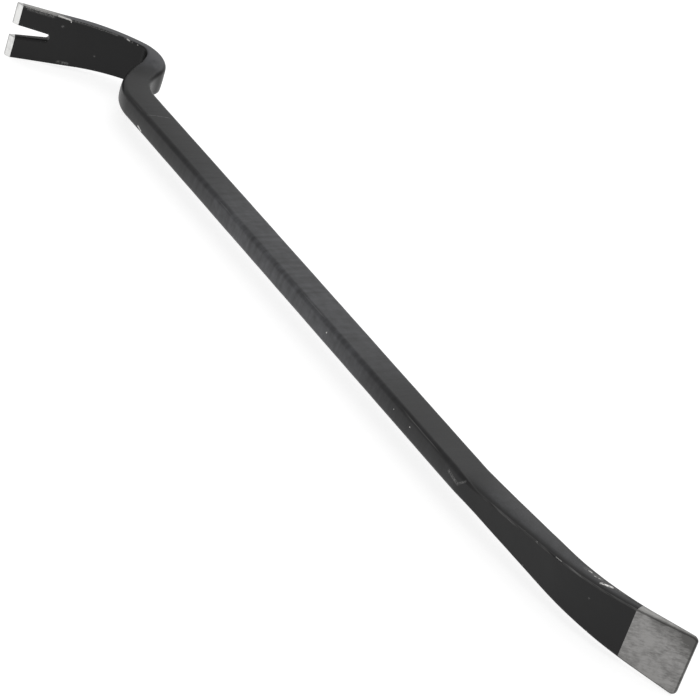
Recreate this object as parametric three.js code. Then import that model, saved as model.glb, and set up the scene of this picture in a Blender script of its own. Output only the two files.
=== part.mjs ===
// Gooseneck wrecking bar: one steel forging with a slotted claw at one end and a chisel blade at the other.
// Millimetres. The bar lies on its side: +X runs along the shank to the blade, +Z is up across the width of
// the claw and the blade, the claw hooks towards -Y and the blade sweeps towards +Y.
// Each zone of the forging is a mesh of its own. Its neighbours start at the section where it ends. The
// working edges are ground to bare steel, and everything else is painted black.
import * as THREE from "three";

// Bar stock
const STOCK_DEPTH = 20;
const STOCK_WIDTH = 12.4;
const STOCK_CORNER = 3;
const SHANK_LENGTH = 365;

// Gooseneck: the shank kinks back, then the heel turns the claw forward
const KINK_ANGLE = 62.5;
const KINK_RADIUS = 37;
const NECK_DEPTH = 15.5;
const NECK_STRAIGHT = 2;
const NECK_FLARE_LENGTH = 16;
const HEEL_ANGLE = 101.5;
const HEEL_RADIUS = 12.2;

// Claw
const CLAW_CURVE_ANGLE = 29;
const CLAW_CURVE_RADIUS = 81;
const CLAW_STRAIGHT = 38;
const CLAW_WIDTH = 35;
const CLAW_ROOT_WIDTH = 25;
const CLAW_DEPTH = 7;
const CLAW_FRONT_CORNER = 0.9;
const CLAW_BACK_CORNER = 4;

// Prongs and the nail slot between them
const PRONG_TIP_DEPTH = 3.4;
const PRONG_TIP_CORNER = 0.35;
const PRONG_EDGE_LENGTH = 3.3;
const PRONG_EDGE_DEPTH = 1.2;
const SLOT_LENGTH = 23;
const SLOT_MOUTH_WIDTH = 7.6;
const SLOT_ROOT_WIDTH = 3.6;
const SLOT_FRONT_CORNER = 2;
const SLOT_BACK_CORNER = 0.4;
const LEAST_CORNER = 0.05;

// Blade: its back runs on from the shank, and its front is forged down to a wedge
const BLADE_LEAD = 75;
const BLADE_SWEEP_ANGLE = 21;
const BLADE_SWEEP_RADIUS = 167;
const BLADE_STRAIGHT = 23;
const BLADE_WIDTH = 35;
const BLADE_FLARE = 1.15;
const BLADE_THINNING = 1.15;
const BLADE_SHOULDER = 20;
const BLADE_FRONT_CORNER = 1;
const BLADE_TIP_DEPTH = 1.8;
const BLADE_TIP_CORNER = 0.5;
const BARE_BLADE_LENGTH = 32.5;
const TIP_ROUNDING = 3;

// Mesh density
const CORNER_SEGMENTS = 3;
const COARSE_STEP = 4;
const FINE_STEP = 1.5;

const { clamp, degToRad, lerp, smoothstep } = THREE.MathUtils;

const paint = new THREE.MeshStandardMaterial({ color: 0x2a2b2d, roughness: 0.42, metalness: 0.1 });
const bareSteel = new THREE.MeshStandardMaterial({ color: 0x9c9b97, roughness: 0.38, metalness: 0.9 });

// The spine runs from the prong tips to the blade tip in legs. A leg has a length and the angle that it turns
// through, anticlockwise from above.
const straight = (length) => ({ length, turn: 0 });
const arc = (radius, degrees) => ({
  length: radius * degToRad(Math.abs(degrees)),
  turn: degToRad(degrees),
});
const lengthOf = (legs) => legs.reduce((sum, leg) => sum + leg.length, 0);

const CLAW_LEGS = [straight(CLAW_STRAIGHT), arc(CLAW_CURVE_RADIUS, -CLAW_CURVE_ANGLE)];
const HEEL_LEGS = [arc(HEEL_RADIUS, -HEEL_ANGLE)];
const NECK_LEGS = [straight(NECK_STRAIGHT), arc(KINK_RADIUS, KINK_ANGLE)];
const BLADE_LEGS = [
  straight(BLADE_LEAD),
  arc(BLADE_SWEEP_RADIUS, BLADE_SWEEP_ANGLE),
  straight(BLADE_STRAIGHT),
];
const SPINE = [...CLAW_LEGS, ...HEEL_LEGS, ...NECK_LEGS, straight(SHANK_LENGTH), ...BLADE_LEGS];
const START_HEADING = degToRad(CLAW_CURVE_ANGLE + HEEL_ANGLE - KINK_ANGLE);

// Distances along the spine from the prong tips
const CLAW_ROOT = lengthOf(CLAW_LEGS);
const HEEL_END = CLAW_ROOT + lengthOf(HEEL_LEGS);
const SHANK_START = HEEL_END + lengthOf(NECK_LEGS);
const BLADE_START = SHANK_START + SHANK_LENGTH;
const BLADE_SWEEP_START = BLADE_START + BLADE_LEAD;
const BLADE_TIP = lengthOf(SPINE);
const BARE_BLADE_START = BLADE_TIP - BARE_BLADE_LENGTH;

// The spine's point and heading at a distance from the prong tips.
function spineAt(distance) {
  const point = new THREE.Vector2();
  let heading = START_HEADING;
  let left = distance;
  for (const { length, turn } of SPINE) {
    const walked = Math.min(left, length);
    const turned = (turn * walked) / length;
    const chord = turn === 0 ? walked : (2 * length * Math.sin(turned / 2)) / turn;
    const bearing = heading + turned / 2;
    point.x += chord * Math.cos(bearing);
    point.y += chord * Math.sin(bearing);
    heading += turned;
    left -= walked;
  }
  return { point, heading };
}

// The share of the way from one distance to another, from 0 to 1.
const share = (distance, from, to) => clamp((distance - from) / (to - from), 0, 1);

// A section's limits about the spine, front and back across it and low and high along Z, and the radius of each
// of its corners, by the signs of the corner's place across and along Z.
function section(depth, width, frontCorner, backCorner = frontCorner) {
  return {
    front: -depth / 2,
    back: depth / 2,
    low: -width / 2,
    high: width / 2,
    corner: (across) => (across < 0 ? frontCorner : backCorner),
  };
}

// The claw is thinnest at the prong tips and reaches its full depth halfway to the heel.
function clawSection(distance) {
  const thickening = share(distance, 0, CLAW_ROOT / 2);
  return section(
    lerp(PRONG_TIP_DEPTH, CLAW_DEPTH, thickening),
    lerp(CLAW_WIDTH, CLAW_ROOT_WIDTH, share(distance, 0, CLAW_ROOT)),
    lerp(PRONG_TIP_CORNER, CLAW_FRONT_CORNER, thickening),
    lerp(PRONG_TIP_CORNER, CLAW_BACK_CORNER, thickening),
  );
}

// The sides close in from the claw to the stock over the heel and the start of the neck.
function flaredWidth(distance) {
  const closing = smoothstep(distance, CLAW_ROOT, HEEL_END + NECK_FLARE_LENGTH);
  return lerp(CLAW_ROOT_WIDTH, STOCK_WIDTH, closing);
}

function heelSection(distance) {
  const along = smoothstep(distance, CLAW_ROOT, HEEL_END);
  return section(
    lerp(CLAW_DEPTH, NECK_DEPTH, along),
    flaredWidth(distance),
    lerp(CLAW_FRONT_CORNER, STOCK_CORNER, along),
    lerp(CLAW_BACK_CORNER, STOCK_CORNER, along),
  );
}

function neckSection(distance) {
  const along = share(distance, HEEL_END, SHANK_START);
  return section(lerp(NECK_DEPTH, STOCK_DEPTH, along ** 2), flaredWidth(distance), STOCK_CORNER);
}

const shankSection = () => section(STOCK_DEPTH, STOCK_WIDTH, STOCK_CORNER);

// The back stays at half the stock's depth from the spine, and the front closes in on it. The front corners are
// pressed sharp over the shoulder.
function bladeSection(distance) {
  const along = share(distance, BLADE_START, BLADE_TIP);
  const pressed = share(distance, BLADE_START, BLADE_START + BLADE_SHOULDER);
  const depth = lerp(STOCK_DEPTH, BLADE_TIP_DEPTH, along ** BLADE_THINNING);
  const width = lerp(STOCK_WIDTH, BLADE_WIDTH, along ** BLADE_FLARE);
  const frontCorner = lerp(STOCK_CORNER, lerp(BLADE_FRONT_CORNER, BLADE_TIP_CORNER, along), pressed);
  const backCorner = lerp(STOCK_CORNER, BLADE_TIP_CORNER, along);
  const limits = section(depth, width, frontCorner, backCorner);
  return { ...limits, front: STOCK_DEPTH / 2 - depth, back: STOCK_DEPTH / 2 };
}

// The blade's bare end draws in along a quarter circle at each corner of its tip.
function bladeTipSection(distance) {
  const limits = bladeSection(distance);
  const past = Math.max(0, distance - (BLADE_TIP - TIP_ROUNDING));
  const drawnIn = TIP_ROUNDING - Math.sqrt(TIP_ROUNDING ** 2 - past ** 2);
  return { ...limits, low: limits.low + drawnIn, high: limits.high - drawnIn };
}

// Half the width of the nail slot, which narrows from its mouth and ends in a half circle.
function slotHalfWidth(distance) {
  const radius = SLOT_ROOT_WIDTH / 2;
  const centre = SLOT_LENGTH - radius;
  if (distance <= centre) return lerp(SLOT_MOUTH_WIDTH / 2, radius, distance / centre);
  return Math.sqrt(Math.max(0, radius ** 2 - (distance - centre) ** 2));
}

// One prong, above the slot (side 1) or below it (side -1). Its ground edge is bevelled on the front. Its
// corners along the slot are well rounded on the front and small on the back, and fade out at the slot's root.
const prongSection = (side) => (distance) => {
  const limits = clawSection(distance);
  const edge = share(distance, 0, PRONG_EDGE_LENGTH);
  const front = lerp(limits.back - PRONG_EDGE_DEPTH, limits.front, edge);
  const slotWall = slotHalfWidth(distance);
  const fading = Math.min(1, (2 * slotWall) / SLOT_ROOT_WIDTH);
  const frontCorner = Math.min(SLOT_FRONT_CORNER, (limits.back - front) / 2);
  const slotCorner = (across) => Math.max(LEAST_CORNER, fading * (across < 0 ? frontCorner : SLOT_BACK_CORNER));
  return {
    front,
    back: limits.back,
    low: side > 0 ? slotWall : limits.low,
    high: side > 0 ? limits.high : -slotWall,
    corner: (across, up) => (up * side < 0 ? slotCorner(across) : limits.corner(across)),
  };
};

// A rounded square: a square of side 2 with a quarter circle of radius 1 about each of its corners.
function unitSection() {
  const shape = new THREE.Shape();
  shape.absarc(1, 1, 1, 0, 0.5 * Math.PI);
  shape.absarc(-1, 1, 1, 0.5 * Math.PI, Math.PI);
  shape.absarc(-1, -1, 1, Math.PI, 1.5 * Math.PI);
  shape.absarc(1, -1, 1, 1.5 * Math.PI, 2 * Math.PI);
  return shape;
}

// One coordinate of a corner's arc in the unit section, moved out to real limits and a real radius.
const placed = (value, low, high, radius) => (value < 0 ? low : high) + (value - 2 * Math.sign(value)) * radius;

// One zone of the forging, swept along the spine between two distances. The spacing function shares out its
// sections.
function zone(name, material, from, to, step, sectionAt, spacing = (along) => along) {
  const geometry = new THREE.ExtrudeGeometry(unitSection(), {
    depth: 1,
    steps: Math.max(1, Math.round((to - from) / step)),
    curveSegments: CORNER_SEGMENTS,
    bevelEnabled: false,
  });
  const vertices = geometry.getAttribute("position");
  for (let i = 0; i < vertices.count; i++) {
    const distance = lerp(from, to, spacing(vertices.getZ(i)));
    const { point, heading } = spineAt(distance);
    const { front, back, low, high, corner } = sectionAt(distance);
    const radius = corner(vertices.getX(i), vertices.getY(i));
    const across = placed(vertices.getX(i), front, back, radius);
    const up = placed(vertices.getY(i), low, high, radius);
    vertices.setXYZ(
      i,
      point.x - across * Math.sin(heading),
      point.y + across * Math.cos(heading),
      up,
    );
  }
  geometry.computeVertexNormals();
  const mesh = new THREE.Mesh(geometry, material);
  mesh.name = name;
  return mesh;
}

// Closer sections towards the end of a zone, where a rounded outline turns in.
const closerToEnd = (along) => Math.sin((along * Math.PI) / 2);

const bar = new THREE.Group();
for (const [place, side] of [["upper", 1], ["lower", -1]]) {
  bar.add(
    zone(`prong_edge_${place}`, bareSteel, 0, PRONG_EDGE_LENGTH, FINE_STEP, prongSection(side)),
    zone(`claw_prong_${place}`, paint, PRONG_EDGE_LENGTH, SLOT_LENGTH, FINE_STEP, prongSection(side), closerToEnd),
  );
}
bar.add(
  zone("claw_plate", paint, SLOT_LENGTH, CLAW_ROOT, COARSE_STEP, clawSection),
  zone("heel", paint, CLAW_ROOT, HEEL_END, FINE_STEP, heelSection),
  zone("neck", paint, HEEL_END, SHANK_START, COARSE_STEP, neckSection),
  zone("shank", paint, SHANK_START, BLADE_START, SHANK_LENGTH, shankSection),
  zone("blade_taper", paint, BLADE_START, BLADE_SWEEP_START, COARSE_STEP, bladeSection),
  zone("blade_sweep", paint, BLADE_SWEEP_START, BARE_BLADE_START, COARSE_STEP, bladeSection),
  zone("blade_edge", bareSteel, BARE_BLADE_START, BLADE_TIP, FINE_STEP, bladeTipSection, closerToEnd),
);

// The origin is under the middle of the bar, on the surface that it rests on.
const bounds = new THREE.Box3().setFromObject(bar);
const middle = bounds.getCenter(new THREE.Vector3());
bar.position.set(-middle.x, -middle.y, -bounds.min.z);

export default bar;
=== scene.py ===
"""Forged gooseneck wrecking bar: its finished look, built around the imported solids.

Each piece is one zone of the forging. It is swept along the bar's spine in closer rings than the
solids have, and closed at both ends. Neighbouring zones share the ring where they meet. Everything is
in metres, in the frame of the solids: +X runs along the shank to the blade, +Z is up across the width
of the claw and the blade, and the claw hooks towards -Y.
"""

import copy
import math

import bpy
import numpy as np
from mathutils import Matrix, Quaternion, Vector


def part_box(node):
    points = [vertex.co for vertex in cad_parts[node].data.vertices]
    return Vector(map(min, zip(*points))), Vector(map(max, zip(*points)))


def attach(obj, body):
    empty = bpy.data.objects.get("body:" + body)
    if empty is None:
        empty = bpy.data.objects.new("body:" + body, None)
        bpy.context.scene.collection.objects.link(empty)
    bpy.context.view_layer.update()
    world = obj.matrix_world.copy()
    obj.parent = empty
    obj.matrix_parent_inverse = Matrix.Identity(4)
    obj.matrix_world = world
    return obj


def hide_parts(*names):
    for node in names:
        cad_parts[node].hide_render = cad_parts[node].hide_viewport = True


bl_info = {
    "name": "Wrecking Bar",
    "version": (1, 0, 0),
    "blender": (4, 5, 0),
    "location": "3D View > Sidebar > Wrecking Bar",
    "description": "Builds a forged gooseneck wrecking bar with its paint, wear and ground edges",
    "category": "Add Mesh",
}

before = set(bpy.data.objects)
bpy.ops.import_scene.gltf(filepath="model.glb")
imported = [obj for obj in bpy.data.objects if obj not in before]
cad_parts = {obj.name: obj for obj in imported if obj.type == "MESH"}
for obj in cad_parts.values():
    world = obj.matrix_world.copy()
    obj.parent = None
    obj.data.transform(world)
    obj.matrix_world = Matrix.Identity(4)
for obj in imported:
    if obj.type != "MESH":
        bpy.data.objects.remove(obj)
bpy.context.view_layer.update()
SHANK_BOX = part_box("shank")
SHANK_SIZE = SHANK_BOX[1] - SHANK_BOX[0]
CLAW_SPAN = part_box("prong_edge_upper")[1].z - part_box("prong_edge_lower")[0].z
BLADE_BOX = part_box("blade_edge")
BLADE_SPAN = BLADE_BOX[1].z - BLADE_BOX[0].z

MM = 0.001
BODY = "root"

# Mesh density
CORNER_STEPS = 8
FACE_POINTS = 9
RING_STEP = 0.9 * MM
SHANK_STEP = 3 * MM
BEVEL_STEP = 0.35 * MM
ROOT_RINGS = 40
TIP_RINGS = 20
ROUND_RINGS = 6
NORMAL_REACH = 0.02 * MM

# Small roundings, and how far before the blade its front corners start to be pressed
LARGEST_CORNER_SHARE = 0.49
PRONG_TIP_ROUNDING = 0.9 * MM
PRONG_TIP_EDGE = 0.25 * MM
BLADE_TIP_EDGE = 0.3 * MM
PRESS_LEAD = 5 * MM

# The shortest lengths that anything is divided by
SHORTEST = 1e-12
SHORTEST_MARK = 0.1 * MM


def length(name, description, default):
    """A length that a user can change."""
    return bpy.props.FloatProperty(
        name=name,
        description=description,
        default=default,
        min=0,
        precision=4,
        unit="LENGTH",
        subtype="DISTANCE",
    )


def angle(name, description, degrees):
    """An angle that a user can change."""
    return bpy.props.FloatProperty(
        name=name,
        description=description,
        default=math.radians(degrees),
        unit="ROTATION",
        subtype="ANGLE",
    )


def share_of(name, description, default, high=1.0):
    """A plain number that a user can change, from 0 up."""
    return bpy.props.FloatProperty(name=name, description=description, default=default, min=0, max=high)


def colour(name, description, default):
    """A colour that a user can change."""
    return bpy.props.FloatVectorProperty(
        name=name, description=description, default=default, size=3, min=0, max=1, subtype="COLOR"
    )


class WreckingBarShape(bpy.types.PropertyGroup):
    """Sizes of the forging."""

    stock_depth: length("Stock Depth", "Front to back of the bar stock", SHANK_SIZE.y)
    stock_width: length("Stock Width", "Side to side of the bar stock", SHANK_SIZE.z)
    stock_corner: length("Stock Corner", "Corner radius of the bar stock", 3 * MM)
    shank_length: length("Shank Length", "Length of the straight shank", SHANK_SIZE.x)
    kink_angle: angle("Kink Angle", "How far the neck kinks back from the shank", 62.5)
    kink_radius: length("Kink Radius", "Radius of the kink at the middle of the stock", 37 * MM)
    neck_depth: length("Neck Depth", "Front to back of the neck", 15.5 * MM)
    neck_straight: length("Neck Straight", "Straight run between the heel and the kink", 2 * MM)
    neck_flare: length("Neck Flare", "How far the heel's extra width runs into the neck", 16 * MM)
    heel_angle: angle("Heel Angle", "How far the heel turns the claw forward", 101.5)
    heel_radius: length("Heel Radius", "Radius of the heel at the middle of its depth", 12.2 * MM)
    claw_curve_angle: angle("Claw Curve", "How far the claw curves between its root and its prongs", 29)
    claw_curve_radius: length("Claw Curve Radius", "Radius of the claw's curve", 81 * MM)
    claw_straight: length("Claw Straight", "Straight length behind the prong tips", 38 * MM)
    claw_width: length("Claw Width", "Width across the prong tips", CLAW_SPAN)
    claw_root_width: length("Claw Root Width", "Width where the claw meets the heel", 25 * MM)
    claw_depth: length("Claw Depth", "Thickness of the claw", 7 * MM)
    claw_front_corner: length("Claw Front Corner", "Edge radius on the claw's front", 0.9 * MM)
    claw_back_corner: length("Claw Back Corner", "Edge radius on the claw's back", 4 * MM)
    prong_tip_depth: length("Prong Tip Depth", "Thickness of the prong tips before grinding", 3.4 * MM)
    prong_tip_corner: length("Prong Tip Corner", "Edge radius at the prong tips", 0.35 * MM)
    prong_edge_length: length("Prong Edge Length", "Length of the ground bevel on each prong", 3.3 * MM)
    prong_edge_depth: length("Prong Edge Depth", "Thickness left at the ground tips", 1.2 * MM)
    slot_length: length("Slot Length", "Depth of the nail slot", 23 * MM)
    slot_mouth: length("Slot Mouth", "Width of the nail slot at the prong tips", 7.6 * MM)
    slot_root: length("Slot Root", "Width of the nail slot at its closed end", 3.6 * MM)
    slot_front_corner: length("Slot Front Corner", "Edge radius along the slot on the front", 2 * MM)
    slot_back_corner: length("Slot Back Corner", "Edge radius along the slot on the back", 0.4 * MM)
    blade_lead: length("Blade Lead", "Straight run before the blade's sweep", 75 * MM)
    blade_sweep_angle: angle("Blade Sweep", "How far the blade sweeps back", 21)
    blade_sweep_radius: length("Blade Sweep Radius", "Radius of the blade's sweep", 167 * MM)
    blade_straight: length("Blade Straight", "Straight length at the blade's tip", 23 * MM)
    blade_width: length("Blade Width", "Width at the blade's tip", BLADE_SPAN)
    blade_flare: share_of("Blade Flare", "Above 1, the width grows more slowly at first", 1.15, 4)
    blade_thinning: share_of("Blade Thinning", "Above 1, the depth falls more slowly at first", 1.15, 4)
    blade_shoulder: length("Blade Shoulder", "How soon the front corners are pressed sharp", 20 * MM)
    blade_front_corner: length("Blade Front Corner", "Edge radius on the blade's front", 1 * MM)
    blade_tip_depth: length("Blade Tip Depth", "Thickness at the blade's tip", 1.8 * MM)
    blade_tip_corner: length("Blade Tip Corner", "Edge radius at the blade's tip", 0.5 * MM)
    blade_tip_rounding: length("Blade Tip Rounding", "Radius of the tip's outline", 3 * MM)
    bare_blade_length: length("Bare Blade Length", "How far the blade is ground bare", 32.5 * MM)
    crown: length("Crown", "How far the stock's faces swell out between their corners", 0.2 * MM)
    drawn_edge: share_of("Drawn Edge", "How far the blade's front edges draw in, by its depth", 0.085)
    side_bulge: share_of("Side Bulge", "How steeply the blade's sides bulge, by its depth", 0.14)
    unevenness: length("Unevenness", "Height of the slow waves that forging leaves", 0.07 * MM)


class WreckingBarFinish(bpy.types.PropertyGroup):
    """Colours and textures of the finish."""

    paint: colour("Paint", "Colour of the paint", (0.0034, 0.0034, 0.0036))
    # This colour also paints sheen on the sides of the heel, the neck and the blade, and lightens the
    # paint along the shank.
    haze_and_sheen: colour("Haze", "Colour of the haze that handling leaves", (0.06, 0.061, 0.066))
    # This colour also paints the highlight line along the blade's edges, part of the highlight on the
    # claw's sides, and the V of highlight where the blade starts.
    worn_paint_and_highlight: colour("Worn Paint", "Colour of scuffed and thinned paint", (0.17, 0.168, 0.165))
    chipped_steel: colour("Chipped Steel", "Colour of the steel in the chips", (0.7, 0.69, 0.67))
    prong_steel: colour("Prong Steel", "Colour of the freshly ground prong tips", (0.72, 0.72, 0.71))
    blade_steel: colour("Blade Steel", "Colour of the coarsely ground blade", (0.27, 0.266, 0.26))
    # A lit copy of the blade's steel for its sides, standing in for the light that the sides catch.
    blade_side_lit_steel: colour("Blade Side Steel", "Colour of the ground sides", (0.27, 0.267, 0.26))
    # This colour also darkens the blade's steel towards its upper side near the tip, and the prongs'
    # steel along their edges and tips.
    dark_steel: colour("Stained Steel", "Colour of dark clouds in the steel", (0.1, 0.098, 0.095))
    # This colour paints thin lines of shade along the ground edges and at the tip of the blade, and its
    # pits.
    pit_and_edge_shade_steel: colour("Burnt Steel", "Colour of burrs on the ground edges", (0.03, 0.029, 0.028))
    paint_roughness: share_of("Paint Roughness", "Roughness of the satin paint", 0.38)
    paint_gloss: share_of("Paint Refraction", "Refractive index of the paint's surface", 1.34, 3)
    steel_roughness: share_of("Steel Roughness", "Roughness of the ground steel", 0.42)
    peel_height: length("Peel Height", "Height of the paint's orange peel", 0.012 * MM)
    scale_height: length("Scale Height", "Height of the forging scale under the paint", 0.05 * MM)
    ripple_height: length("Ripple Height", "Height of the rolling marks across the shank", 0.06 * MM)
    paint_thickness: length("Paint Thickness", "Depth of a chip in the paint", 0.15 * MM)


class WreckingBarStudio(bpy.types.PropertyGroup):
    """The floor, the light and the camera."""

    floor: colour("Floor", "Colour of the floor", (0.5, 0.5, 0.5))
    floor_radius: length("Floor Radius", "Radius of the floor", 40)
    floor_roughness: share_of("Floor Roughness", "Roughness of the floor", 0.8)
    floor_shine: share_of("Floor Shine", "Specular level of the floor", 0.1)
    floor_glow: share_of("Floor Glow", "Glow of the floor, like a light table", 0.72, 10)
    surroundings: share_of("Surroundings", "Brightness of the plain surroundings", 0.78, 10)
    softbox_power: share_of("Softbox Power", "Power of the high soft light, in watts", 5.0, 1000)
    softbox_size: length("Softbox Size", "Length of the soft light's sides", 1.2)
    softbox_offset: bpy.props.FloatVectorProperty(
        name="Softbox Offset",
        description="From the camera's aim to the soft light",
        default=(-0.9, 1.1, 1.6),
        size=3,
        unit="LENGTH",
        subtype="TRANSLATION",
    )
    camera_azimuth: angle("Camera Azimuth", "Turn about the vertical, from the front", 49.67)
    camera_elevation: angle("Camera Elevation", "Height of the camera above the horizon", 28.65)
    camera_roll: angle("Camera Roll", "Roll of the camera about its own axis", 19.22)
    camera_distance: length("Camera Distance", "From the aim to the camera", 1.602)
    camera_lens: bpy.props.FloatProperty(
        name="Camera Lens",
        description="Focal length",
        default=158.5,
        min=1,
        unit="CAMERA",
    )
    camera_aim: bpy.props.FloatVectorProperty(
        name="Camera Aim",
        description="The point that the camera looks at",
        default=(0.0366, 0.0008, 0.0175),
        size=3,
        unit="LENGTH",
        subtype="TRANSLATION",
    )


# --- The forging's shape ----------------------------------------------------------------


def share(distance, start, end):
    """The share of the way from one distance to another, from 0 to 1."""
    return np.clip((distance - start) / (end - start), 0, 1)


def eased(along):
    """A share of the way that starts and ends gently."""
    return along * along * (3 - 2 * along)


def between(first, last, along):
    """The value at a share of the way from the first value to the last."""
    return first + (last - first) * along


def quarter_circle(past, radius):
    """How far a rounded outline has drawn in, at a distance past the start of its rounding."""
    past = np.clip(past, 0, radius)
    return radius - np.sqrt(radius**2 - past**2)


class Spine:
    """The bar's middle line from the prong tips to the blade tip, in straight or evenly turning legs."""

    def __init__(self, shape):
        claw_arc = shape.claw_curve_radius * shape.claw_curve_angle
        heel_arc = shape.heel_radius * shape.heel_angle
        kink_arc = shape.kink_radius * shape.kink_angle
        sweep_arc = shape.blade_sweep_radius * shape.blade_sweep_angle
        self.legs = [
            (shape.claw_straight, 0),
            (claw_arc, -shape.claw_curve_angle),
            (heel_arc, -shape.heel_angle),
            (shape.neck_straight, 0),
            (kink_arc, shape.kink_angle),
            (shape.shank_length, 0),
            (shape.blade_lead, 0),
            (sweep_arc, shape.blade_sweep_angle),
            (shape.blade_straight, 0),
        ]
        self.claw_root = shape.claw_straight + claw_arc
        self.heel_end = self.claw_root + heel_arc
        self.shank_start = self.heel_end + shape.neck_straight + kink_arc
        self.blade_start = self.shank_start + shape.shank_length
        self.sweep_start = self.blade_start + shape.blade_lead
        self.blade_tip = self.sweep_start + sweep_arc + shape.blade_straight
        self.bare_start = self.blade_tip - shape.bare_blade_length
        self.start_heading = shape.claw_curve_angle + shape.heel_angle - shape.kink_angle
        self.offset = np.zeros(2)
        shank_start = np.array([SHANK_BOX[0].x, (SHANK_BOX[0].y + SHANK_BOX[1].y) / 2])
        self.offset = shank_start - self.at(np.array([self.shank_start]))[0][0]
        self.level = (SHANK_BOX[0].z + SHANK_BOX[1].z) / 2

    def at(self, distance):
        """The points in the X-Y plane, and the headings, at these distances from the prong tips."""
        point = np.zeros(distance.shape + (2,)) + self.offset
        heading = np.full(distance.shape, self.start_heading)
        left = np.array(distance, float)
        for number, (leg_length, turn) in enumerate(self.legs):
            last = number == len(self.legs) - 1
            walked = left if last else np.minimum(left, leg_length)
            turned = turn * walked / leg_length
            chord = walked if turn == 0 else 2 * leg_length * np.sin(turned / 2) / turn
            bearing = heading + turned / 2
            point += chord[..., None] * np.stack([np.cos(bearing), np.sin(bearing)], -1)
            heading = heading + turned
            left = left - walked
        return point, heading


class Section:
    """Rings of the forging: their limits across the spine and along Z, and their four corners' radii.

    The sides' front edges may be drawn in below the sides' full height, the sides may bulge, and all four
    faces may be crowned.
    """

    def __init__(
        self, front, back, low, high, front_corner, back_corner, drawn_edge=0.0, bulge=0.0, crown=0.0
    ):
        self.front = front
        self.back = back
        self.low = low
        self.high = high
        self.drawn_edge = drawn_edge
        self.bulge = bulge
        self.crown = crown
        self.radii = {
            (1, 1): back_corner,
            (-1, 1): front_corner,
            (-1, -1): front_corner,
            (1, -1): back_corner,
        }

    def drawn_in(self, amount):
        """The same rings, drawn in all round by an amount."""
        drawn = copy.copy(self)
        drawn.front = self.front + amount
        drawn.back = self.back - amount
        drawn.low = self.low + amount
        drawn.high = self.high - amount
        return drawn


CORNERS = ((1, 1), (-1, 1), (-1, -1), (1, -1))
FACES = ((0, 1), (-1, 0), (0, -1), (1, 0))


def ring_of(section, count):
    """The rings' points as (across, up), their outward directions, and how far they are from an edge."""
    points, outward, from_edge = [], [], []
    narrowest = np.minimum(section.back - section.front, section.high - section.low)
    most = LARGEST_CORNER_SHARE * narrowest
    radii = {corner: np.minimum(section.radii[corner], most) for corner in CORNERS}

    def centre_of(corner):
        across = section.back if corner[0] > 0 else section.front
        up = section.high if corner[1] > 0 else section.low
        drawn = section.drawn_edge if corner[0] < 0 else 0
        return across - corner[0] * radii[corner], up - corner[1] * (radii[corner] + drawn)

    for number, corner in enumerate(CORNERS):
        radius = radii[corner]
        middle = centre_of(corner)
        for step in range(CORNER_STEPS + 1):
            turn = math.pi / 2 * (number + step / CORNER_STEPS)
            direction = (math.cos(turn), math.sin(turn))
            points.append([middle[0] + radius * direction[0], middle[1] + radius * direction[1]])
            outward.append(direction)
            from_edge.append(radius * abs(math.pi / 4 - math.pi / 2 * step / CORNER_STEPS))
        following = CORNERS[(number + 1) % len(CORNERS)]
        face = FACES[number]
        start = [middle[i] + radius * face[i] for i in range(2)]
        end_middle = centre_of(following)
        end = [end_middle[i] + radii[following] * face[i] for i in range(2)]
        width = np.abs(end[0] - start[0]) + np.abs(end[1] - start[1])
        for step in range(1, FACE_POINTS + 1):
            along = (1 - math.cos(math.pi * step / (FACE_POINTS + 1))) / 2
            # The swell is an arch, which is a quarter of its factor high at the middle of the face.
            swell = (section.bulge + section.drawn_edge) * abs(face[1]) + 4 * section.crown
            swell = swell * along * (1 - along)
            points.append([between(start[i], end[i], along) + swell * face[i] for i in range(2)])
            outward.append(face)
            from_start = along * width + radius * math.pi / 4
            from_end = (1 - along) * width + radii[following] * math.pi / 4
            from_edge.append(np.minimum(from_start, from_end))
    full = np.ones(count)
    points = np.stack([np.stack([p[0] * full, p[1] * full], -1) for p in points], 1)
    outward = np.array(outward, float)
    from_edge = np.stack([f * full for f in from_edge], 1)
    return points, outward, from_edge


def forging_waves(points):
    """Slow waves over the forging, from -1 to 1, by place. Their factors are in radians per metre."""
    x, y, z = points[..., 0], points[..., 1], points[..., 2]
    second_height = 0.5
    third_height = 0.6
    first = np.sin(170 * x + 90 * y + 1.3 * np.sin(60 * x + 240 * z))
    second = np.sin(410 * x - 260 * y + 330 * z + 2.1)
    third = np.sin(95 * x + 520 * z - 1.1 + np.sin(210 * y))
    together = first + second_height * second + third_height * third
    return together / (1 + second_height + third_height)


def bar_surface(spine, distances, section_at, unevenness):
    """The surface's points in the frame, their place on the bar, and how far they are from an edge.

    A place is along, across and up the bar.
    """
    section = section_at(distances)
    ring, outward, from_edge = ring_of(section, len(distances))
    middle, heading = spine.at(distances)

    def placed(ring_points):
        across = ring_points[..., 0]
        x = middle[:, None, 0] - across * np.sin(heading)[:, None]
        y = middle[:, None, 1] + across * np.cos(heading)[:, None]
        return np.stack([x, y, ring_points[..., 1] + spine.level], -1)

    # The waves only go inwards, so that the surface stays inside its own outline.
    depth = unevenness * (forging_waves(placed(ring)) - 1) / 2
    ring = ring + outward[None] * depth[..., None]
    along = np.broadcast_to(distances[:, None], ring.shape[:2])
    place = np.stack([along, ring[..., 0], ring[..., 1]], -1)
    return placed(ring), place, from_edge


def unit(vectors):
    """The vectors at a length of 1."""
    return vectors / np.maximum(np.linalg.norm(vectors, axis=-1, keepdims=True), SHORTEST)


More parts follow.
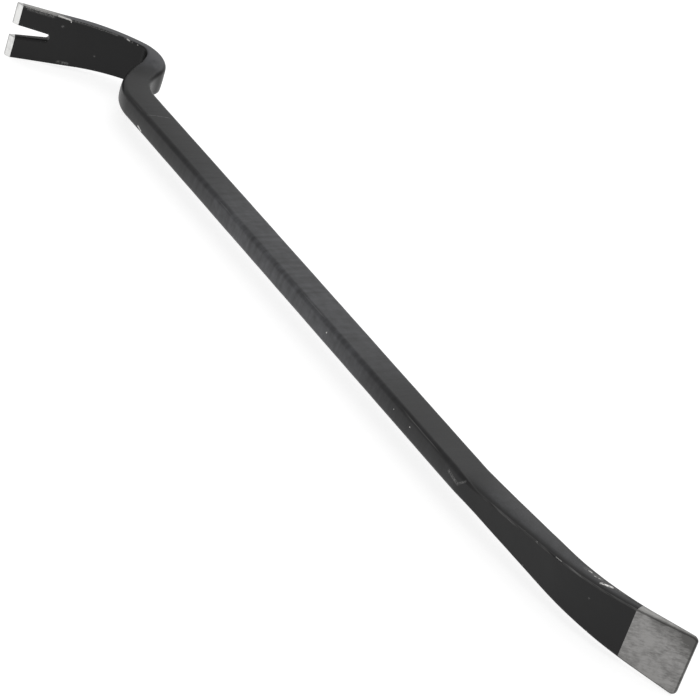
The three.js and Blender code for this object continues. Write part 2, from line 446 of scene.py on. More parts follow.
def make_zone(context, name, node, finish, distances, section_at):
    """Makes one zone of the forging: a closed mesh of rings with a cap at each end."""
    shape = context.scene.wrecking_bar_shape
    spine = Spine(shape)
    distances = np.asarray(distances, float)

    def surface(at):
        return bar_surface(spine, at, section_at, shape.unevenness)

    points, place, from_edge = surface(distances)
    ahead = surface(distances + NORMAL_REACH)[0]
    behind = surface(distances - NORMAL_REACH)[0]
    round_ring = np.roll(points, -1, 1) - np.roll(points, 1, 1)
    normals = unit(np.cross(round_ring, ahead - behind))

    rings, around = points.shape[:2]
    numbers = np.arange(rings * around).reshape(rings, around)
    following = np.roll(numbers, -1, 1)
    quads = np.stack([numbers[:-1], following[:-1], following[1:], numbers[1:]], -1).reshape(-1, 4)
    faces = [tuple(map(int, quad)) for quad in quads]
    faces.append(tuple(map(int, numbers[0][::-1])))
    faces.append(tuple(map(int, numbers[-1])))

    mesh = bpy.data.meshes.new(name)
    mesh.from_pydata(points.reshape(-1, 3).tolist(), [], faces)
    mesh.shade_smooth()
    places = mesh.attributes.new("place", "FLOAT_VECTOR", "POINT")
    places.data.foreach_set("vector", place.ravel().astype(np.float32))
    edge_distances = mesh.attributes.new("from_edge", "FLOAT", "POINT")
    edge_distances.data.foreach_set("value", from_edge.ravel().astype(np.float32))

    headings = spine.at(distances[[0, -1]])[1]
    ways = np.stack([np.cos(headings), np.sin(headings), np.zeros(2)], -1)
    corner_normals = np.concatenate(
        [
            normals.reshape(-1, 3)[quads.ravel()],
            np.repeat(-ways[:1], around, 0),
            np.repeat(ways[1:], around, 0),
        ]
    )
    mesh.normals_split_custom_set(corner_normals.tolist())
    mesh.materials.append(finish)
    if mesh.validate(verbose=False):
        raise RuntimeError(f"the mesh of {name} had faults")

    piece = bpy.data.objects.new(name, mesh)
    context.scene.collection.objects.link(piece)
    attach(piece, BODY)
    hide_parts(node)


def claw_width_at(shape, spine, distance):
    """The width from the prong tips to the stock: a straight taper that runs on smoothly to the stock."""
    flare_end = spine.heel_end + shape.neck_flare
    narrowing = (shape.claw_root_width - shape.claw_width) / spine.claw_root
    taper = shape.claw_width + narrowing * distance
    along = share(distance, spine.claw_root, flare_end)
    run_on = narrowing * (flare_end - spine.claw_root) * along * (1 - along) ** 2
    flare = between(shape.claw_root_width, shape.stock_width, eased(along)) + run_on
    return np.where(distance < spine.claw_root, taper, flare)


def claw_section(shape, spine):
    """The claw, from its prong tips to its root. It thickens over the first half of its length."""

    def at(distance):
        thickening = share(distance, 0, spine.claw_root / 2)
        depth = between(shape.prong_tip_depth, shape.claw_depth, thickening)
        width = claw_width_at(shape, spine, distance)
        front_corner = between(shape.prong_tip_corner, shape.claw_front_corner, thickening)
        back_corner = between(shape.prong_tip_corner, shape.claw_back_corner, thickening)
        return Section(-depth / 2, depth / 2, -width / 2, width / 2, front_corner, back_corner)

    return at


def slot_half_width(shape, distance):
    """Half the nail slot's width, which narrows from its mouth and ends in a half circle."""
    radius = shape.slot_root / 2
    centre = shape.slot_length - radius
    tapered = between(shape.slot_mouth / 2, radius, distance / centre)
    rounded = np.sqrt(np.maximum(0, radius**2 - (distance - centre) ** 2))
    return np.where(distance <= centre, tapered, rounded)


def prong_section(shape, spine, side):
    """One prong, above the slot (side 1) or below it (side -1), with its ground bevel on the front."""
    whole_claw = claw_section(shape, spine)

    def at(distance):
        claw = whole_claw(distance)
        ground = share(distance, 0, shape.prong_edge_length)
        front = between(claw.back - shape.prong_edge_depth, claw.front, ground)
        slot_wall = slot_half_width(shape, distance)
        outside = claw.high - quarter_circle(PRONG_TIP_ROUNDING - distance, PRONG_TIP_ROUNDING)
        low, high = (slot_wall, outside) if side > 0 else (-outside, -slot_wall)
        section = Section(front, claw.back, low, high, claw.radii[(-1, 1)], claw.radii[(1, 1)])
        fading = np.minimum(1, 2 * slot_wall / shape.slot_root)
        slot_front_corner = np.minimum(shape.slot_front_corner, (claw.back - front) / 2)
        section.radii[(-1, -side)] = fading * slot_front_corner
        section.radii[(1, -side)] = fading * shape.slot_back_corner
        return section.drawn_in(quarter_circle(PRONG_TIP_EDGE - distance, PRONG_TIP_EDGE))

    return at


def gooseneck_section(shape, spine):
    """The heel and the neck, from the claw's root to the shank.

    The neck's depth keeps level where it leaves the heel and where it meets the shank.
    """

    def at(distance):
        heel = eased(share(distance, spine.claw_root, spine.heel_end))
        neck = share(distance, spine.heel_end, spine.shank_start)
        depth = between(shape.claw_depth, shape.neck_depth, heel)
        depth = depth + (shape.stock_depth - shape.neck_depth) * neck**3 * (4 - 3 * neck)
        width = claw_width_at(shape, spine, distance)
        corner_share = share(distance, spine.claw_root, spine.heel_end)
        front_corner = between(shape.claw_front_corner, shape.stock_corner, corner_share)
        back_corner = between(shape.claw_back_corner, shape.stock_corner, corner_share)
        crown = shape.crown * corner_share
        return Section(
            -depth / 2, depth / 2, -width / 2, width / 2, front_corner, back_corner, crown=crown
        )

    return at


def blade_section(shape, spine):
    """The blade, whose back runs on from the shank and whose front closes in on it."""
    press_start = spine.blade_start - PRESS_LEAD
    press_end = spine.blade_start + shape.blade_shoulder
    rounding_start = spine.blade_tip - shape.blade_tip_rounding

    def at(distance):
        along = share(distance, spine.blade_start, spine.blade_tip)
        pressed = eased(share(distance, press_start, press_end))
        depth = between(shape.stock_depth, shape.blade_tip_depth, along**shape.blade_thinning)
        width = between(shape.stock_width, shape.blade_width, along**shape.blade_flare)
        sharp = between(shape.blade_front_corner, shape.blade_tip_corner, along)
        front_corner = between(shape.stock_corner, sharp, pressed)
        back_corner = between(shape.stock_corner, shape.blade_tip_corner, along)
        drawn_edge = shape.drawn_edge * depth * pressed
        bulge = shape.side_bulge * depth * pressed
        half = width / 2 - quarter_circle(distance - rounding_start, shape.blade_tip_rounding)
        back = shape.stock_depth / 2
        crown = shape.crown * (1 - pressed)
        section = Section(
            back - depth, back, -half, half, front_corner, back_corner, drawn_edge, bulge, crown
        )
        past_edge = distance - (spine.blade_tip - BLADE_TIP_EDGE)
        return section.drawn_in(quarter_circle(past_edge, BLADE_TIP_EDGE))

    return at


def evenly(start, end, step):
    """Distances from start to end, no further apart than a step."""
    return np.linspace(start, end, max(2, math.ceil((end - start) / step) + 1))


def closing_in(start, end, count):
    """Distances from start to end that come closer together towards the end."""
    return start + (end - start) * np.sin(np.linspace(0, math.pi / 2, count))


# --- The finishes -----------------------------------------------------------------------


class Wire:
    """The output of a shader node. Python's operators on it add the Math nodes that they need."""

    def __init__(self, finish, socket):
        self.finish = finish
        self.socket = socket

    def math(self, operation, *values):
        return self.finish.node("ShaderNodeMath", {"operation": operation}, dict(enumerate(values)))

    def __add__(self, other):
        return self.math("ADD", self, other)

    def __radd__(self, other):
        return self.math("ADD", other, self)

    def __sub__(self, other):
        return self.math("SUBTRACT", self, other)

    def __rsub__(self, other):
        return self.math("SUBTRACT", other, self)

    def __mul__(self, other):
        return self.math("MULTIPLY", self, other)

    def __rmul__(self, other):
        return self.math("MULTIPLY", other, self)

    def __abs__(self):
        return self.math("ABSOLUTE", self)

    def most(self, other):
        return self.math("MAXIMUM", self, other)

    def least(self, other):
        return self.math("MINIMUM", self, other)


class Finish:
    """A material in the making, with the places on the bar that its masks are worked out from."""

    def __init__(self, name):
        self.material = bpy.data.materials.new(name)
        self.material.use_nodes = True
        self.tree = self.material.node_tree
        self.shader = self.tree.nodes["Principled BSDF"]
        self.place = self.node("ShaderNodeAttribute", {"attribute_name": "place"}, output="Vector")
        self.from_edge = self.node("ShaderNodeAttribute", {"attribute_name": "from_edge"}, output="Fac")
        self.position = self.node("ShaderNodeTexCoord", output="Object")
        self.along = self.axis(self.place, "X")
        self.across = self.axis(self.place, "Y")
        self.up = self.axis(self.place, "Z")
        self.sideways = abs(self.axis(self.node("ShaderNodeTexCoord", output="Normal"), "Z"))

    def node(self, kind, settings=None, sockets=None, output=0):
        """Adds a node with these settings and socket values or links, and gives one of its outputs."""
        made = self.tree.nodes.new(kind)
        for name, value in (settings or {}).items():
            setattr(made, name, value)
        for key, value in (sockets or {}).items():
            if isinstance(value, Wire):
                self.tree.links.new(value.socket, made.inputs[key])
            else:
                made.inputs[key].default_value = value
        return Wire(self, made.outputs[output])

    def axis(self, vector, name):
        return self.node("ShaderNodeSeparateXYZ", None, {0: vector}, name)

    def vector(self, operation, first, second, output="Vector"):
        """A vector operation, which gives a vector unless its output is the value."""
        return self.node("ShaderNodeVectorMath", {"operation": operation}, {0: first, 1: second}, output)

    def noise(self, size, detail=2.0, roughness=0.5, where=None):
        """Noise from 0 to 1 whose patches are about this size, in metres."""
        sockets = {
            "Vector": where or self.position,
            "Scale": 1 / size,
            "Detail": detail,
            "Roughness": roughness,
        }
        return self.node("ShaderNodeTexNoise", None, sockets)

    def drawn_noise(self, along_size, across_size, up_size, detail=2.0, roughness=0.5):
        """Noise whose patches have these sizes along, across and up the bar."""
        sizes = (1 / along_size, 1 / across_size, 1 / up_size)
        return self.noise(1, detail, roughness, self.vector("MULTIPLY", self.place, sizes))

    def streaks(self, slant, run, spacing):
        """Noise drawn out into streaks along the bar, slanted towards +Z by an angle."""
        along = (math.cos(slant) / run, 0, math.sin(slant) / run)
        across = (-math.sin(slant) / spacing, 0, math.cos(slant) / spacing)
        sockets = {
            "X": self.vector("DOT_PRODUCT", self.place, along, "Value"),
            "Y": self.vector("DOT_PRODUCT", self.place, across, "Value"),
            "Z": self.across * (1 / spacing),
        }
        return self.noise(1, 3, 0.6, self.node("ShaderNodeCombineXYZ", None, sockets))

    def rise(self, value, low, high):
        """A soft step from 0 at the low value to 1 at the high value."""
        settings = {"interpolation_type": "SMOOTHSTEP"}
        return self.node("ShaderNodeMapRange", settings, {0: value, 1: low, 2: high})

    def stretch(self, value, start, rising, falling, end):
        """1 between the two middle values, falling off softly to 0 at the outer values."""
        return self.rise(value, start, rising) * (1 - self.rise(value, falling, end))

    def mix(self, mask, first, second):
        """A colour between two, by a mask from 0 to 1."""
        first, second = (c if isinstance(c, Wire) else (*c, 1) for c in (first, second))
        settings = {"data_type": "RGBA", "clamp_factor": True}
        # The node has sockets for every kind of data. Those for colours are inputs 6 and 7, and output 2.
        return self.node("ShaderNodeMix", settings, {0: mask, 6: first, 7: second}, 2)

    def mark(self, ragged, start, end, radius):
        """A mask of a chip or scratch between two places on the bar, in mm, with ragged edges."""
        start, end = Vector(start) * MM, Vector(end) * MM
        way = end - start
        rate = way / max(way.length_squared, SHORTEST_MARK**2)
        offset = self.vector("SUBTRACT", self.place, tuple(start))
        reached = self.vector("DOT_PRODUCT", offset, tuple(rate), "Value").most(0).least(1)
        scaling = {"operation": "SCALE"}
        nearest = self.node("ShaderNodeVectorMath", scaling, {0: tuple(way), "Scale": reached})
        apart = self.vector("DISTANCE", offset, nearest, "Value") * (1 / MM)
        frayed = apart + (ragged - 0.5) * (MARK_RAGGEDNESS * radius)
        return 1 - self.rise(frayed, MARK_CORE * radius, radius)

    def marks(self, ragged, places):
        """A mask of several chips or scratches."""
        mask = self.mark(ragged, *places[0])
        for place in places[1:]:
            mask = mask.most(self.mark(ragged, *place))
        return mask

    def set(self, **values):
        """Sets or links sockets of the shader, by name."""
        for name, value in values.items():
            socket = self.shader.inputs[name.replace("_", " ")]
            if isinstance(value, Wire):
                self.tree.links.new(value.socket, socket)
            else:
                socket.default_value = value

    def relief(self, height):
        """Feeds the shader's normal from a height, in metres."""
        bump = self.node("ShaderNodeBump", None, {"Strength": 1.0, "Distance": 1.0, "Height": height})
        self.tree.links.new(bump.socket, self.shader.inputs["Normal"])


# How far the edge of a chip or scuff wanders, and how much of it is at full strength, by its radius
MARK_RAGGEDNESS = 3
MARK_CORE = 0.7
# Chips down to the steel, in mm: where each starts and ends, along, across and up the bar, and its radius
CHIPS = (
    ((5, -2, 16.7), (30, -3, 15.2), 0.18),
    ((25, -2.5, 15.5), (32, -2.9, 14.8), 0.6),
    ((32.5, -2.9, 14.8), (33, -3, 13.4), 0.45),
    ((68.5, -3.3, 12.6), (70, -3.5, 12.3), 0.4),
    ((159, -10, -3), (163, -9.8, -4), 0.6),
    ((378, -10, 1.4), (378, -10, 1.4), 0.55),
    ((448, -10, 1.5), (448, -10, 1.5), 0.4),
    ((464, -10, 1.5), (464, -10, 1.5), 0.4),
    ((583, -2, 10), (588, -1.4, 10.3), 0.35),
    ((611, 4.5, 13), (616, 6.8, 13.3), 1.0),
    ((605, 5.5, 12.6), (608, 6.5, 12.8), 0.4),
    ((600, 6, 12.4), (602, 6.4, 12.4), 0.35),
    ((620, 8, 13.3), (623, 8.4, 13.4), 0.4),
)
# Scuffs that only grey the paint, in the same way
SCUFFS = (
    ((4, -1, 17.2), (24, 0, 16.4), 1.6),
    ((7, -2, 16), (22, -2.6, 14.8), 1.6),
    ((30, -3, 15), (62, -3.3, 12.8), 0.7),
    ((67, -3.3, 13), (72, -3.5, 12), 0.9),
    ((31, -3.2, -13.4), (37, -3.3, -13.2), 1),
    ((28.7, -3, 9.6), (28.7, -3, 9.6), 1.1),
    ((52, -3.5, -4.5), (52, -3.5, -4.5), 0.8),
    ((162, -8, 6.2), (166, 5, 6.2), 0.5),
    # These two scuffs form a V of painted highlight on the front where the blade's pressing starts, with
    # some light wear.
    ((502, -10, 2), (511, -10, 0.4), 1.1),
    ((511, -10, 0.4), (515, -9, 4.6), 0.8),
    ((610, 1, 4), (610, 1, 4), 0.7),
    ((598, 6, 12), (624, 9, 13.3), 2),
)


def paint_haze_and_sheen(finish, spine, on_sides, on_blade, clouds, ripples, scale, ragged):
    """How far the paint is lightened: along the shank, most in its middle, and by painted sheen on the
    sides of the bent ends and of the blade.
    """
    shank_haze = 0.08
    mid_shank_haze = 0.6
    # The sides of the heel and the neck get painted sheen, standing in for the light that they catch.
    gooseneck_sheen = 1.9
    on_shank = finish.stretch(
        finish.along,
        spine.heel_end,
        spine.shank_start + 20 * MM,
        spine.blade_start - MM,
        spine.blade_start + 6 * MM,
    )
    # The paint is lighter along the middle of the shank.
    mid_shank = finish.stretch(
        finish.along,
        spine.shank_start + 50 * MM,
        spine.shank_start + 150 * MM,
        spine.blade_start - 135 * MM,
        spine.blade_start - 50 * MM,
    )
    on_gooseneck = 1 - finish.rise(finish.along, spine.claw_root, spine.heel_end + 12 * MM)
    off_edge = finish.rise(finish.from_edge, 1.2 * MM, 4.5 * MM)
    along_shank_haze = (on_shank * shank_haze + mid_shank * mid_shank_haze) * (0.6 + 0.8 * clouds)
    # The blade's sides get painted sheen away from their edges, mottled in fine grain.
    blade_side_sheen = on_blade * off_edge * (0.15 + 0.5 * ragged)
    haze_and_sheen = along_shank_haze * (0.2 + 1.6 * ripples) + on_sides * (on_gooseneck * gooseneck_sheen + blade_side_sheen)
    return haze_and_sheen * (0.2 + 1.6 * scale) + (scale - 0.5) * 0.07, on_shank


def paint_wear_and_highlights(finish, on_edge, claw_side_wear_and_sheen, on_blade, lengthwise_patches, ragged):
    """How far the paint is lightened: where it wears thin on its edges and in its scuffs, by wear and
    painted highlight on the claw's sides, and by a painted highlight line along the blade's edges.
    """
    edge_wear = 0.3
    line_highlight = 0.3
    claw_side_lightening = 0.9
    scuff_wear = 0.65
    worn_edge = on_edge * finish.rise(lengthwise_patches, 0.56, 0.7)
    # A thin painted highlight line runs along the blade's edges, broken in places, for the light that the
    # edges catch.
    thin_line = 1 - finish.rise(finish.from_edge, 0.3 * MM, 0.8 * MM)
    blade_edge_highlight = on_blade * thin_line * finish.rise(lengthwise_patches, 0.35, 0.6)
    scuffed = finish.marks(ragged, SCUFFS) * finish.rise(ragged, 0.35, 0.65)
    wear_and_highlight = worn_edge * edge_wear + blade_edge_highlight * line_highlight + claw_side_wear_and_sheen * claw_side_lightening
    return (wear_and_highlight + scuffed * scuff_wear).least(1)


def paint_chips(finish, spine, on_edge, claw_side_wear_and_sheen, ragged):
    """Where the paint has chipped off the steel: in its chips, and in nicks along the sharp edges."""
    # Part of the claw's sides shows bright steel, partly bare steel where the paint has gone and partly
    # painted highlight.
    claw_side_bare_and_sheen = 0.3
    nicks = finish.noise(2.2 * MM, 4, 0.7)
    on_claw = finish.stretch(finish.along, -MM, 0, spine.claw_root, spine.claw_root + 8 * MM)
    on_blade_end = finish.rise(finish.along, spine.blade_start + 40 * MM, spine.blade_start + 70 * MM)
    nicked = (on_claw + on_blade_end) * on_edge * finish.rise(nicks, 0.66, 0.7)
    chipped = finish.marks(ragged, CHIPS) * finish.rise(ragged, 0.3, 0.55)
    return chipped.most(nicked).most(claw_side_wear_and_sheen * claw_side_bare_and_sheen)


def black_paint(context):
    """Satin black paint on a forging, with orange peel, hazing, scuffs and chips down to the steel,
    painted sheen on the sides of the bent ends and the blade, and painted highlights along the blade's
    edges, where the blade starts and on the claw's sides.
    """
    name = "satin_black_paint"
    if name in bpy.data.materials:
        return bpy.data.materials[name]
    look = context.scene.wrecking_bar_finish
    spine = Spine(context.scene.wrecking_bar_shape)
    finish = Finish(name)
    peel = finish.noise(1.6 * MM)
    scale = finish.noise(5 * MM, 3, 0.55)
    clouds = finish.noise(35 * MM)
    ragged = finish.noise(1 * MM, 3, 0.7)
    ripples = finish.drawn_noise(3.2 * MM, 40 * MM, 40 * MM)
    lengthwise_patches = finish.drawn_noise(60 * MM, 2 * MM, 2 * MM, 3, 0.6)

    on_edge = 1 - finish.rise(finish.from_edge, 0.3 * MM, 1.6 * MM)
    faces_sideways = finish.rise(finish.sideways, 0.6, 0.95)
    on_sides = faces_sideways * finish.rise(abs(finish.up), 4.2 * MM, 5.6 * MM)
    on_blade = finish.rise(finish.along, spine.blade_start, spine.blade_start + 30 * MM)
    on_prongs = 1 - finish.rise(finish.along, 18 * MM, 34 * MM)
    # The claw's sides near the prongs are lighter, partly from paint that wears off and partly as painted
    # highlight for the light on them.
    claw_side_wear_and_sheen = on_sides * on_prongs * finish.rise(ragged, 0.15, 0.5)

    haze_and_sheen, on_shank = paint_haze_and_sheen(finish, spine, on_sides, on_blade, clouds, ripples, scale, ragged)
    wear_and_highlight = paint_wear_and_highlights(finish, on_edge, claw_side_wear_and_sheen, on_blade, lengthwise_patches, ragged)
    chips = paint_chips(finish, spine, on_edge, claw_side_wear_and_sheen, ragged)
    painted = finish.mix(haze_and_sheen, look.paint, look.haze_and_sheen)
    painted = finish.mix(wear_and_highlight, painted, look.worn_paint_and_highlight)
    finish.set(
        Base_Color=finish.mix(chips, painted, look.chipped_steel),
        Metallic=chips * 0.9,
        Roughness=look.paint_roughness + (clouds - 0.5) * 0.12 + (scale - 0.5) * 0.1 + wear_and_highlight * 0.15,
        IOR=look.paint_gloss,
    )
    height = peel * look.peel_height + scale * look.scale_height - chips * look.paint_thickness
    finish.relief(height + ripples * on_shank * look.ripple_height)
    return finish.material


def prong_steel(context):
    """Bright steel, ground across the prong tips."""
    name = "bright_prong_steel"
    if name in bpy.data.materials:
        return bpy.data.materials[name]
    look = context.scene.wrecking_bar_finish
    finish = Finish(name)
    crosswise = math.pi / 2
    stain_strength = 0.3
    edge_darkening = 0.55
    smoother = 0.05
    groove_depth = 0.02 * MM
    streaks = finish.streaks(crosswise, 6 * MM, 0.5 * MM)
    clouds = finish.noise(4 * MM, 2, 0.6)
    on_edge = 1 - finish.rise(finish.from_edge, 0.1 * MM, 0.35 * MM)
    at_tip = 1 - finish.rise(finish.along, 0.1 * MM, 0.5 * MM)
    darkening = finish.rise(clouds * 0.6 + streaks * 0.4, 0.45, 0.7) * stain_strength
    steel = finish.mix(darkening, look.prong_steel, look.dark_steel)
    # The steel is darker along its edges and at the tip.
    finish.set(
        Base_Color=finish.mix(on_edge.most(at_tip) * edge_darkening, steel, look.dark_steel),
        Metallic=1.0,
        Roughness=look.steel_roughness - smoother + (streaks - 0.5) * 0.2,
    )
    finish.relief(streaks * groove_depth)
    return finish.material


def blade_steel(context):
    """Dull steel, coarsely ground along the blade, with darker clouds, pits, and painted shade in thin
    lines along its edges and at its tip.
    """
    name = "dull_blade_steel"
    if name in bpy.data.materials:
        return bpy.data.materials[name]
    look = context.scene.wrecking_bar_finish
    spine = Spine(context.scene.wrecking_bar_shape)
    finish = Finish(name)
    slant = math.radians(15)
    fine_groove_depth = 0.03 * MM
    coarse_groove_depth = 0.04 * MM
    coarse = finish.streaks(slant, 5 * MM, 1.2 * MM)
    fine = finish.streaks(slant, 3.5 * MM, 0.4 * MM)
    clouds = finish.noise(9 * MM, 4, 0.65)
    spots = finish.noise(1.1 * MM, 3, 0.6)
    from_tip = spine.blade_tip - finish.along
    wander = (spots - 0.5) * (0.8 * MM)
    # The steel is darker towards its upper side near the tip.
    upper_corner = finish.rise(finish.up - from_tip * 0.5, -2 * MM, 18 * MM)
    on_edge = 1 - finish.rise(finish.from_edge + wander, 0.35 * MM, 0.9 * MM)
    at_tip = 1 - finish.rise(from_tip + wander, 0.3 * MM, 1.1 * MM)
    on_sides = finish.rise(finish.sideways, 0.6, 0.9)

    darkening = finish.rise(clouds * 0.65 + coarse * 0.35, 0.38, 0.66) * 0.7
    darkening = (darkening + upper_corner * 1.2 + (fine - 0.5) * 0.9 - 0.05).most(0).least(1)
    steel = finish.mix(darkening, look.blade_steel, look.dark_steel)
    # The sides take the lit copy of the steel, with less of the darkening, as painted light.
    steel = finish.mix(on_sides * (1 - darkening * 0.4), steel, look.blade_side_lit_steel)
    pits = finish.rise(spots, 0.72, 0.78)
    # Painted shade darkens the blade's edges and tip in thin lines; pits darken spots on its face.
    dark = (on_edge * 0.6).most(at_tip * 0.7).most(pits * 0.6)
    finish.set(
        Base_Color=finish.mix(dark, steel, look.pit_and_edge_shade_steel),
        Metallic=1.0,
        Roughness=look.steel_roughness + (coarse - 0.5) * 0.2,
    )
    finish.relief(fine * fine_groove_depth + coarse * coarse_groove_depth)
    return finish.material


# --- The pieces -------------------------------------------------------------------------

SIDES = (("upper", 1), ("lower", -1))


class WRECKING_BAR_OT_prong_edges(bpy.types.Operator):
    """Makes the ground bevels at the tips of both prongs"""

    bl_idname = "wrecking_bar.prong_edges"
    bl_label = "Prong Edges"

    def execute(self, context):
        shape = context.scene.wrecking_bar_shape
        spine = Spine(shape)
        tip = PRONG_TIP_ROUNDING * (1 - np.cos(np.linspace(0, math.pi / 2, ROUND_RINGS)))
        bevel = evenly(PRONG_TIP_ROUNDING, shape.prong_edge_length, BEVEL_STEP)
        distances = np.concatenate([tip, bevel[1:]])
        for place, side in SIDES:
            name = f"ground_prong_edge_{place}"
            node = f"prong_edge_{place}"
            section = prong_section(shape, spine, side)
            make_zone(context, name, node, prong_steel(context), distances, section)
        return {"FINISHED"}


class WRECKING_BAR_OT_claw_prongs(bpy.types.Operator):
    """Makes the painted prongs on both sides of the nail slot"""

    bl_idname = "wrecking_bar.claw_prongs"
    bl_label = "Claw Prongs"

    def execute(self, context):
        shape = context.scene.wrecking_bar_shape
        spine = Spine(shape)
        distances = closing_in(shape.prong_edge_length, shape.slot_length, ROOT_RINGS)
        for place, side in SIDES:
            name = f"forged_claw_prong_{place}"
            node = f"claw_prong_{place}"
            section = prong_section(shape, spine, side)
            make_zone(context, name, node, black_paint(context), distances, section)
        return {"FINISHED"}


class WRECKING_BAR_OT_claw_plate(bpy.types.Operator):
    """Makes the curved plate of the claw between the nail slot and the heel"""

    bl_idname = "wrecking_bar.claw_plate"
    bl_label = "Claw Plate"

    def execute(self, context):
        shape = context.scene.wrecking_bar_shape
        spine = Spine(shape)
        distances = evenly(shape.slot_length, spine.claw_root, RING_STEP)
        section = claw_section(shape, spine)
        paint = black_paint(context)
        make_zone(context, "forged_claw_plate", "claw_plate", paint, distances, section)
        return {"FINISHED"}


class WRECKING_BAR_OT_heel(bpy.types.Operator):
    """Makes the heel, which turns the claw forward"""

    bl_idname = "wrecking_bar.heel"
    bl_label = "Heel"

    def execute(self, context):
        shape = context.scene.wrecking_bar_shape
        spine = Spine(shape)
        distances = evenly(spine.claw_root, spine.heel_end, RING_STEP / 2)
        section = gooseneck_section(shape, spine)
        make_zone(context, "forged_heel", "heel", black_paint(context), distances, section)
        return {"FINISHED"}


class WRECKING_BAR_OT_neck(bpy.types.Operator):
    """Makes the neck, which kinks back from the shank"""

    bl_idname = "wrecking_bar.neck"
    bl_label = "Neck"

    def execute(self, context):
        shape = context.scene.wrecking_bar_shape
        spine = Spine(shape)
        distances = evenly(spine.heel_end, spine.shank_start, RING_STEP)
        section = gooseneck_section(shape, spine)
        make_zone(context, "forged_neck", "neck", black_paint(context), distances, section)
        return {"FINISHED"}


class WRECKING_BAR_OT_shank(bpy.types.Operator):
    """Makes the straight shank"""

    bl_idname = "wrecking_bar.shank"
    bl_label = "Shank"

    def execute(self, context):
        shape = context.scene.wrecking_bar_shape
        spine = Spine(shape)
        distances = evenly(spine.shank_start, spine.blade_start, SHANK_STEP)
        section = blade_section(shape, spine)
        make_zone(context, "forged_shank", "shank", black_paint(context), distances, section)
        return {"FINISHED"}


class WRECKING_BAR_OT_blade(bpy.types.Operator):
    """Makes the painted part of the blade: its straight taper and its sweep"""

    bl_idname = "wrecking_bar.blade"
    bl_label = "Blade"

    def execute(self, context):
        shape = context.scene.wrecking_bar_shape
        spine = Spine(shape)
        section = blade_section(shape, spine)
        paint = black_paint(context)
        taper = evenly(spine.blade_start, spine.sweep_start, RING_STEP)
        sweep = evenly(spine.sweep_start, spine.bare_start, RING_STEP)
        make_zone(context, "forged_blade_taper", "blade_taper", paint, taper, section)
        make_zone(context, "forged_blade_sweep", "blade_sweep", paint, sweep, section)
        return {"FINISHED"}


class WRECKING_BAR_OT_blade_edge(bpy.types.Operator):
    """Makes the blade's end, which is ground bare"""

    bl_idname = "wrecking_bar.blade_edge"
    bl_label = "Blade Edge"

    def execute(self, context):
        shape = context.scene.wrecking_bar_shape
        spine = Spine(shape)
        rounding_start = spine.blade_tip - shape.blade_tip_rounding
        straight = evenly(spine.bare_start, rounding_start, RING_STEP)
        rounding = closing_in(rounding_start, spine.blade_tip, TIP_RINGS)
        distances = np.concatenate([straight, rounding[1:]])
        section = blade_section(shape, spine)
        steel = blade_steel(context)
        make_zone(context, "ground_blade_edge", "blade_edge", steel, distances, section)
        return {"FINISHED"}


# --- The stage --------------------------------------------------------------------------


FLOOR_SIDES = 96
VIEW_LIMIT = 200


def area_light(context, name, place, aim, size, power):
    """Makes a square soft light at a place, turned towards an aim."""
    light = bpy.data.lights.new(name, "AREA")
    light.shape = "SQUARE"
    light.size = size
    light.energy = power
    lamp = bpy.data.objects.new(name, light)
    lamp.location = place
    lamp.rotation_mode = "QUATERNION"
    lamp.rotation_quaternion = (aim - place).to_track_quat("-Z", "Y")
    context.scene.collection.objects.link(lamp)


def direction_from(azimuth, elevation):
    """The direction towards something seen at an azimuth from the front and an elevation."""
    flat = math.cos(elevation)
    return Vector((math.sin(azimuth) * flat, -math.cos(azimuth) * flat, math.sin(elevation)))


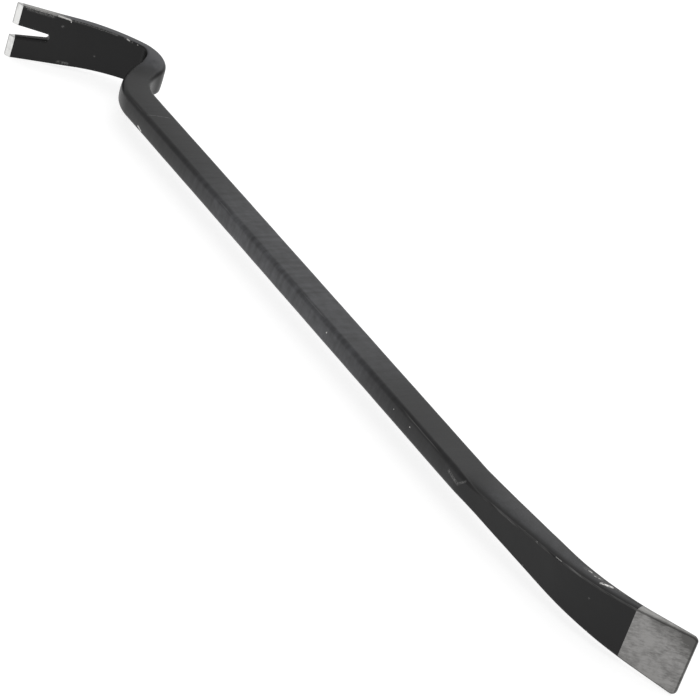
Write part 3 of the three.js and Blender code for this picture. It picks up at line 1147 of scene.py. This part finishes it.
class WRECKING_BAR_OT_stage(bpy.types.Operator):
    """Makes the pale floor, the plain surroundings, the soft light and the camera"""

    bl_idname = "wrecking_bar.stage"
    bl_label = "Stage"

    def execute(self, context):
        scene = context.scene
        studio = scene.wrecking_bar_studio
        self.make_floor(context, studio)
        world = bpy.data.worlds.new("plain_surroundings")
        world.use_nodes = True
        background = world.node_tree.nodes["Background"]
        background.inputs["Color"].default_value = (1, 1, 1, 1)
        background.inputs["Strength"].default_value = studio.surroundings
        scene.world = world
        aim = Vector(studio.camera_aim)
        place = aim + Vector(studio.softbox_offset)
        area_light(context, "high_softbox", place, aim, studio.softbox_size, studio.softbox_power)
        camera = bpy.data.cameras.new("camera")
        camera.lens = studio.camera_lens
        camera.clip_end = VIEW_LIMIT
        holder = bpy.data.objects.new("camera", camera)
        outward = direction_from(studio.camera_azimuth, studio.camera_elevation)
        holder.location = aim + outward * studio.camera_distance
        level = (-outward).to_track_quat("-Z", "Y")
        holder.rotation_mode = "QUATERNION"
        holder.rotation_quaternion = level @ Quaternion((0, 0, 1), studio.camera_roll)
        scene.collection.objects.link(holder)
        scene.camera = holder
        scene.view_settings.view_transform = "Standard"
        return {"FINISHED"}

    def make_floor(self, context, studio):
        """Makes a round floor that glows like a light table."""
        name = "pale_floor"
        mesh = bpy.data.meshes.new(name)
        radius = studio.floor_radius
        turns = np.linspace(0, 2 * math.pi, FLOOR_SIDES, endpoint=False)
        rim = [(radius * math.cos(turn), radius * math.sin(turn), 0) for turn in turns]
        mesh.from_pydata(rim, [], [tuple(range(FLOOR_SIDES))])
        floor = bpy.data.objects.new(name, mesh)
        material = bpy.data.materials.new(name)
        material.use_nodes = True
        shader = material.node_tree.nodes["Principled BSDF"]
        shader.inputs["Base Color"].default_value = (*studio.floor, 1)
        shader.inputs["Roughness"].default_value = studio.floor_roughness
        shader.inputs["Specular IOR Level"].default_value = studio.floor_shine
        shader.inputs["Emission Color"].default_value = (1, 1, 1, 1)
        shader.inputs["Emission Strength"].default_value = studio.floor_glow
        mesh.materials.append(material)
        context.scene.collection.objects.link(floor)


class WRECKING_BAR_PT_panel(bpy.types.Panel):
    """Lists the operators in the order in which they run"""

    bl_label = "Wrecking Bar"
    bl_idname = "WRECKING_BAR_PT_panel"
    bl_space_type = "VIEW_3D"
    bl_region_type = "UI"
    bl_category = "Wrecking Bar"

    def draw(self, context):
        for operator in OPERATORS:
            self.layout.operator(operator.bl_idname)
        for group in GROUPS:
            settings = getattr(context.scene, group)
            for name in settings.bl_rna.properties.keys():
                if name not in ("rna_type", "name"):
                    self.layout.prop(settings, name)


GROUPS = {
    "wrecking_bar_shape": WreckingBarShape,
    "wrecking_bar_finish": WreckingBarFinish,
    "wrecking_bar_studio": WreckingBarStudio,
}
OPERATORS = (
    WRECKING_BAR_OT_stage,
    WRECKING_BAR_OT_prong_edges,
    WRECKING_BAR_OT_claw_prongs,
    WRECKING_BAR_OT_claw_plate,
    WRECKING_BAR_OT_heel,
    WRECKING_BAR_OT_neck,
    WRECKING_BAR_OT_shank,
    WRECKING_BAR_OT_blade,
    WRECKING_BAR_OT_blade_edge,
)


def register():
    """Registers the settings, the operators and the panel."""
    for name, group in GROUPS.items():
        bpy.utils.register_class(group)
        setattr(bpy.types.Scene, name, bpy.props.PointerProperty(type=group))
    for operator in OPERATORS:
        bpy.utils.register_class(operator)
    bpy.utils.register_class(WRECKING_BAR_PT_panel)


def unregister():
    """Takes away what register adds."""
    bpy.utils.unregister_class(WRECKING_BAR_PT_panel)
    for operator in reversed(OPERATORS):
        bpy.utils.unregister_class(operator)
    for name, group in GROUPS.items():
        delattr(bpy.types.Scene, name)
        bpy.utils.unregister_class(group)


def main():
    """Builds the stage and every piece."""
    register()
    for operator in OPERATORS:
        group, name = operator.bl_idname.split(".")
        getattr(getattr(bpy.ops, group), name)()


if __name__ == "__main__":
    main()
